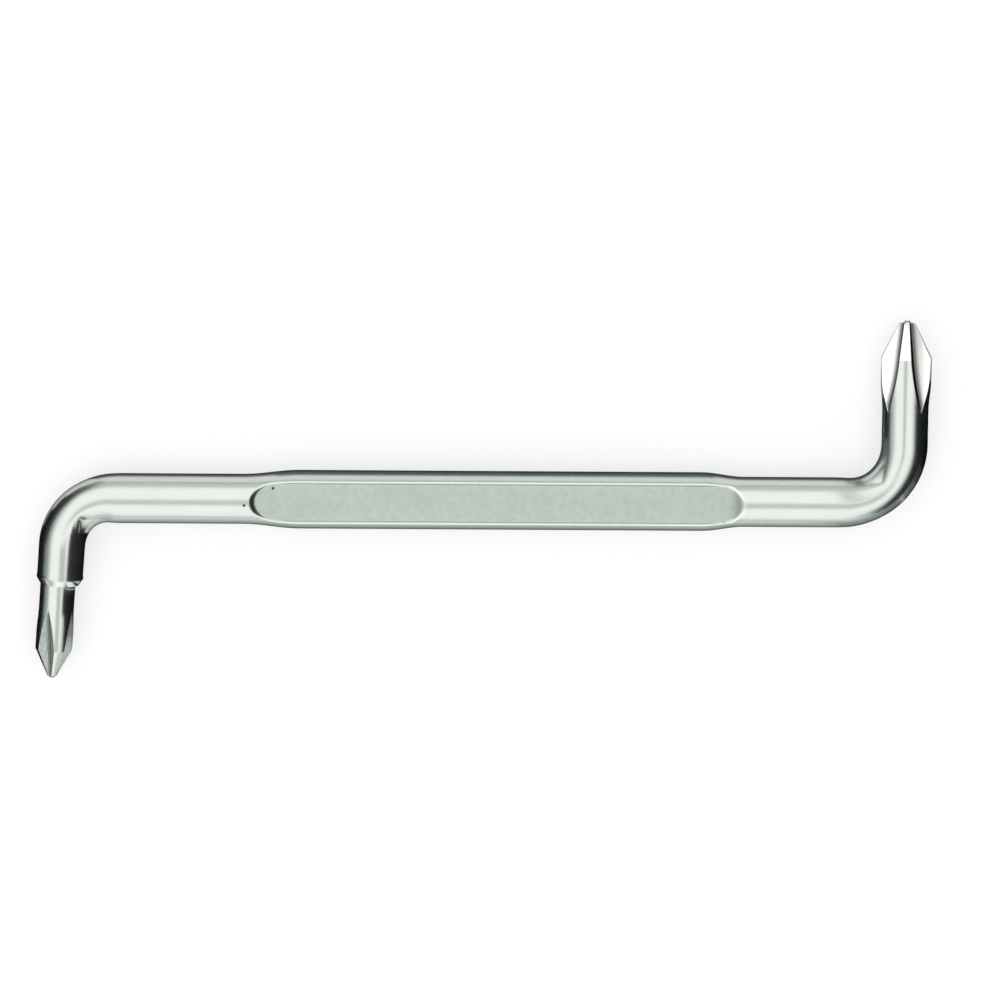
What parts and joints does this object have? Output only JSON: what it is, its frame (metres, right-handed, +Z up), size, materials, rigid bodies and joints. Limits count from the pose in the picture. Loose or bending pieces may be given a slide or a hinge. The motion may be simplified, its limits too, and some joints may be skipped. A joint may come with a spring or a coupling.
{
  "type": "offset screwdriver",
  "caption": "Offset screwdriver forged from a round steel bar: a pressed grip between arms turned opposite ways, each arm ending in a cross point.",
  "frame": {"origin": "under the middle of the tool's bounding box, on the surface that it lies on", "axes": "+X along the bar towards the size 2 end, +Y the way the size 2 arm points, +Z up out of the upper panel"},
  "size_m": [0.125, 0.0512, 0.007],
  "materials": {
    "satin_chrome": "satin chrome plate over forged tool steel",
    "ground_point": "chrome plate over ground flutes, brighter than the body"
  },
  "bodies": {
    "root": {"grip": "satin_chrome", "ph1_bend": "satin_chrome", "ph1_arm": "satin_chrome", "ph1_blade": "ground_point", "ph2_bend": "satin_chrome", "ph2_arm": "satin_chrome", "ph2_blade": "ground_point"}
  },
  "joints": []
}
